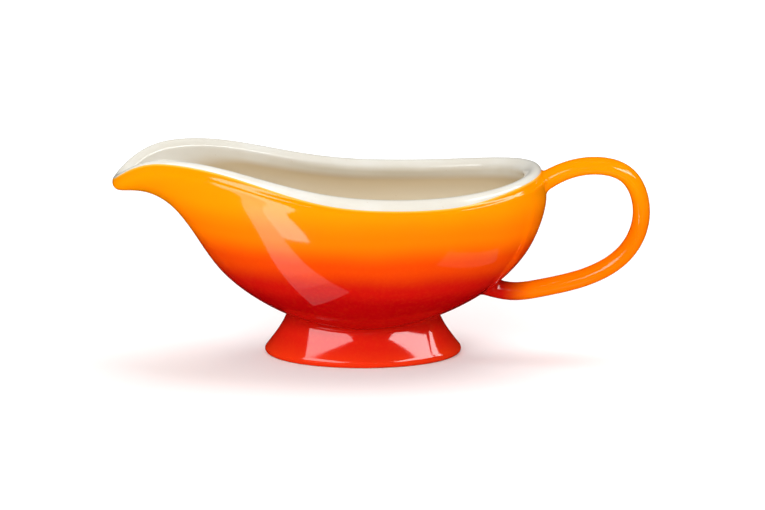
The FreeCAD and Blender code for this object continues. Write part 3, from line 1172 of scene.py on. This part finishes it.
@dataclass
class Handle:
    """The loop handle's glaze, flowing into the boat at both ends."""

    width: float = 11.0 * MM
    thickness: float = 6.6 * MM
    swelling: float = 1.22
    reach: float = 122.2 * MM
    top: float = 84.2 * MM
    low: float = 27.0 * MM
    root: float = 78.3 * MM
    coat: float = 0.5 * MM
    upper_corner: float = 2.0 * MM
    lower_corner: float = 3.0 * MM
    coat_wall: float = 0.4 * MM
    swelling_power: float = 10
    columns: int = 64
    curve_points: int = 1500
    line_points: int = 640
    plain_rows: int = 150
    corner_rows: int = 10
    stops: tuple[tuple[str, float, float], ...] = (
        ("lip", -4.0, 0.185),
        ("lip", 7.5, 0.063),
        ("reach", -21.5, 0.0),
        ("reach", -7.0, 0.068),
        ("reach", 0.0, 0.380),
        ("reach", -7.2, 0.690),
        ("reach", -21.3, 0.856),
        ("lip", 1.0, 0.960),
        ("lip", -13.0, 0.988),
        ("lip", -29.0, 0.910),
    )

    def path(self, count: int) -> np.ndarray:
        """Points along the middle of the handle, evenly spaced.

        Args:
            count: How many.

        Returns:
            The points, from the upper end to the lower.
        """
        start = {"lip": self.root, "reach": self.reach}
        drop = self.top - self.low
        stations = np.array([
            (start[base] + out * MM, 0, self.top - share * drop) for base, out, share in self.stops
        ])
        knots = distances_along(stations)
        fine = spline_through(stations, knots, np.linspace(0, knots[-1], self.curve_points))
        run = distances_along(fine)
        even = np.linspace(0, run[-1], count)
        return np.stack([np.interp(even, run, fine[:, axis]) for axis in range(3)], axis=-1)

    def lines(self, count: int) -> np.ndarray:
        """Lines of points along the handle's outside.

        Args:
            count: How many points a line has.

        Returns:
            One line for each column.
        """
        middle = self.path(count)
        along = np.gradient(middle, axis=0)
        along /= np.linalg.norm(along, axis=1)[:, None]
        side = np.array([0.0, 1.0, 0.0])
        across = np.cross(along, side)
        ends = np.abs(np.linspace(-1, 1, count)) ** self.swelling_power
        swell = 1 + (self.swelling - 1) * ends
        half_width = self.width / 2 * swell + self.coat
        half_thickness = self.thickness / 2 * swell + self.coat
        lines = []
        for turn in 2 * np.pi * np.arange(self.columns) / self.columns:
            sideways = (half_width * math.cos(turn))[:, None] * side
            lines.append(middle + sideways + (half_thickness * math.sin(turn))[:, None] * across)
        return np.array(lines)

    def build(self, skin: Skin) -> None:
        """Models the glaze.

        Args:
            skin: The boat's outside, which both ends run into.
        """
        lines = self.lines(self.line_points)
        half = self.line_points // 2
        upper = self._joint(skin, lines[:, :half][:, ::-1], self.upper_corner)
        lower = self._joint(skin, lines[:, half:], self.lower_corner)
        rows = self.plain_rows
        plain = np.zeros((rows - 1, self.columns, 3))
        for column, line in enumerate(lines):
            first = self._nearest_step(line, upper[0, column])
            last = self._nearest_step(line, lower[0, column])
            for row in range(1, rows):
                plain[row - 1, column] = read_line(line, first + (last - first) * row / rows)
        rings = np.concatenate([upper[::-1], plain, lower])
        model = RingModel("handle_coat", self.columns).add_all(rings)
        middle = self._middle()
        piece = model.finish(lambda place: place - middle.find_nearest(place)[0], self.coat_wall)
        dress(piece, FlameGlaze(Part.HANDLE).material())
        settle(piece, "flame_glaze", "handle_glaze")

    def _joint(self, skin: Skin, lines: np.ndarray, corner: float) -> np.ndarray:
        """Rings that carry one end of the handle into the skin, about its middle there."""
        meets = [read_line(line, skin.crossing(line)) for line in lines]
        return skin.joint(lines, np.mean(meets, axis=0), corner, self.corner_rows)

    def _middle(self) -> BVHTree:
        """The handle's middle line, as a hair-thin strip for finding the nearest place on it.

        Returns:
            The strip.
        """
        count = self.line_points
        middle = [Vector(point) for point in self.path(count)]
        beside = [point + Vector((0, 1e-6, 0)) for point in middle]
        faces = [(i, i + 1, i + 1 + count, i + count) for i in range(count - 1)]
        return BVHTree.FromPolygons(middle + beside, faces)

    @staticmethod
    def _nearest_step(line: np.ndarray, point: np.ndarray) -> float:
        """Where on a line of points a point lies."""
        return float(np.argmin(np.linalg.norm(line - point, axis=1)))


class ClayNodes:
    """The CAD nodes that stay: bare clay, joint slip and the glaze in the foot's hollow."""

    def dress(self, nodes: dict[str, bpy.types.Object]) -> None:
        """Gives each node that is kept its finish.

        Args:
            nodes: The CAD nodes by name.
        """
        clay = Bisque("stoneware").material()
        slip = Bisque("joint_slip", paint(228, 216, 196)).material()
        for name in ("bowl", "foot", "handle"):
            dress(nodes[name], clay)
        for name in ("foot_joint_slip", "handle_top_slip", "handle_low_slip"):
            dress(nodes[name], slip)
        dress(nodes["foot_hollow_glaze"], FlameGlaze(Part.HOLLOW).material())


# ---------------------------------------------------------------- studio

class Seen(Enum):
    """What a light does: colours the surfaces, or only draws a highlight in the glaze."""

    SOFT = "soft"
    GLEAM = "gleam"


@dataclass(frozen=True)
class Softbox:
    """A rectangular soft light, placed and sized by the angles it is seen at from the boat."""

    name: str
    azimuth: float
    rise: float
    width: float
    height: float
    brightness: float
    seen: Seen = Seen.GLEAM
    distance: float = 1.4
    aim: tuple[float, float, float] = (0.0, 0.0, 0.05)

    def hang(self) -> None:
        """Puts the light up."""
        turn, rise = math.radians(self.azimuth), math.radians(self.rise)
        away = Vector((math.sin(turn) * math.cos(rise), -math.cos(turn) * math.cos(rise), math.sin(rise)))
        place = Vector(self.aim) + away * self.distance
        size = [2 * self.distance * math.tan(math.radians(angle / 2)) for angle in (self.width, self.height)]
        lamp = add_lamp(self.name, place, self.brightness, self.seen, *size)
        lamp.rotation_euler = away.to_track_quat("Z", "Y").to_euler()


@dataclass(frozen=True)
class FloorCard:
    """A white card that lies on the table beside the boat and gleams in its glaze."""

    name: str
    start: tuple[float, float]
    end: tuple[float, float]
    width: float
    near: float
    far: float
    lengths: int = 1
    lift: float = 0.5 * MM

    def lay(self) -> None:
        """Puts the card down, facing up, in lengths that grow brighter away from the boat."""
        start, end = Vector((*self.start, self.lift)), Vector((*self.end, self.lift))
        run = end - start
        size = run.length / self.lengths, self.width
        for length in range(self.lengths):
            share = (length + 0.5) / self.lengths
            brightness = self.near + (self.far - self.near) * share
            lamp = add_lamp(f"{self.name}_{length}", start + run * share, brightness, Seen.GLEAM, *size)
            lamp.rotation_euler = (math.pi, 0, math.atan2(run.y, run.x))


def add_lamp(
    name: str, place: Vector, brightness: float, seen: Seen, width: float, height: float
) -> bpy.types.Object:
    """Adds a rectangular lamp that the camera doesn't see.

    Args:
        name: Its name.
        place: Its middle.
        brightness: How bright its face is, against a white surface in full light.
        seen: What it does.
        width: Its size one way.
        height: Its size the other way.

    Returns:
        The lamp.
    """
    bpy.ops.object.select_all(action="DESELECT")
    bpy.ops.object.light_add(type="AREA", location=place)
    lamp = bpy.context.object
    lamp.name = name
    lamp.data.shape = "RECTANGLE"
    lamp.data.size = width
    lamp.data.size_y = height
    lamp.data.energy = brightness * math.pi * width * height
    lamp.visible_camera = False
    lamp.visible_diffuse = seen is Seen.SOFT
    lamp.visible_glossy = seen is Seen.GLEAM
    return lamp


@dataclass
class Studio:
    """Floor, light and camera."""

    camera_distance: float = 1.8
    camera_rise: float = 13.5
    camera_aim: tuple[float, float, float] = (0.0086, 0.0, 0.0440)
    lens: float = 192.5
    sensor: float = 36.0
    sky: float = 0.54
    floor_size: float = 12.0

    def build(self) -> None:
        """Sets the stage."""
        self._floor()
        self._lights()
        self._camera()
        bpy.context.scene.view_settings.view_transform = "Standard"

    def _floor(self) -> None:
        """A wide plain floor under the foot."""
        bpy.ops.object.select_all(action="DESELECT")
        bpy.ops.mesh.primitive_plane_add(size=self.floor_size, location=(0, 0, 0))
        floor = bpy.context.object
        floor.name = "studio_floor"
        dress(floor, StudioFloor().material())
        floor.visible_glossy = False

    def _lights(self) -> None:
        """An even sky, soft light from the front and above, and the cards that draw the highlights."""
        self._sky()
        for box in (
            Softbox("front_light", -12, 28, 44, 30, 4.6, Seen.SOFT),
            Softbox("top_light", 150, 66, 50, 40, 3.0, Seen.SOFT),
            Softbox("left_gleam", -41, 40, 40, 24, 5.5),
            Softbox("right_gleam", 58, 42, 40, 15, 9.0),
            Softbox("far_right_gleam", 93, 36, 9, 18, 9.0),
        ):
            box.hang()
        for card in (
            FloorCard("strip_card", (-0.022, -0.050), (-0.166, -0.148), 0.036, 0.5, 3.0, 8),
            FloorCard("bright_card", (-0.112, -0.130), (-0.330, -0.400), 0.080, 4.6, 4.6),
            FloorCard("right_card", (0.070, -0.088), (0.112, -0.026), 0.022, 0.28, 0.28),
        ):
            card.lay()

    def _sky(self) -> None:
        """White all round to look at, and a softer white to light by."""
        world = bpy.data.worlds.new("studio_sky")
        bpy.context.scene.world = world
        world.use_nodes = True
        tree = world.node_tree
        kinds = "Background", "LightPath", "MixShader"
        seen, path, share = (tree.nodes.new(f"ShaderNode{kind}") for kind in kinds)
        lit = tree.nodes["Background"]
        lit.inputs["Color"].default_value = seen.inputs["Color"].default_value = (1, 1, 1, 1)
        lit.inputs["Strength"].default_value = self.sky
        tree.links.new(path.outputs["Is Camera Ray"], share.inputs[0])
        tree.links.new(lit.outputs[0], share.inputs[1])
        tree.links.new(seen.outputs[0], share.inputs[2])
        tree.links.new(share.outputs[0], tree.nodes["World Output"].inputs["Surface"])
        world.cycles_visibility.glossy = False

    def _camera(self) -> None:
        """A long lens, a little above the rim."""
        rise = math.radians(self.camera_rise)
        aim = Vector(self.camera_aim)
        back = Vector((0, -math.cos(rise), math.sin(rise)))
        bpy.ops.object.select_all(action="DESELECT")
        bpy.ops.object.camera_add(location=aim + back * self.camera_distance)
        camera = bpy.context.object
        camera.name = "camera"
        camera.rotation_euler = (math.radians(90) - rise, 0, 0)
        camera.data.lens = self.lens
        camera.data.sensor_width = self.sensor
        bpy.context.scene.camera = camera


def main() -> None:
    """Builds the boat, its foot and handle, and the studio."""
    logging.basicConfig(level=logging.INFO, format="%(name)s: %(message)s")
    skin = Boat().build()
    Foot().build(skin)
    Handle().build(skin)
    ClayNodes().dress(frame["nodes"])
    Studio().build()


if __name__ == "__main__":
    main()
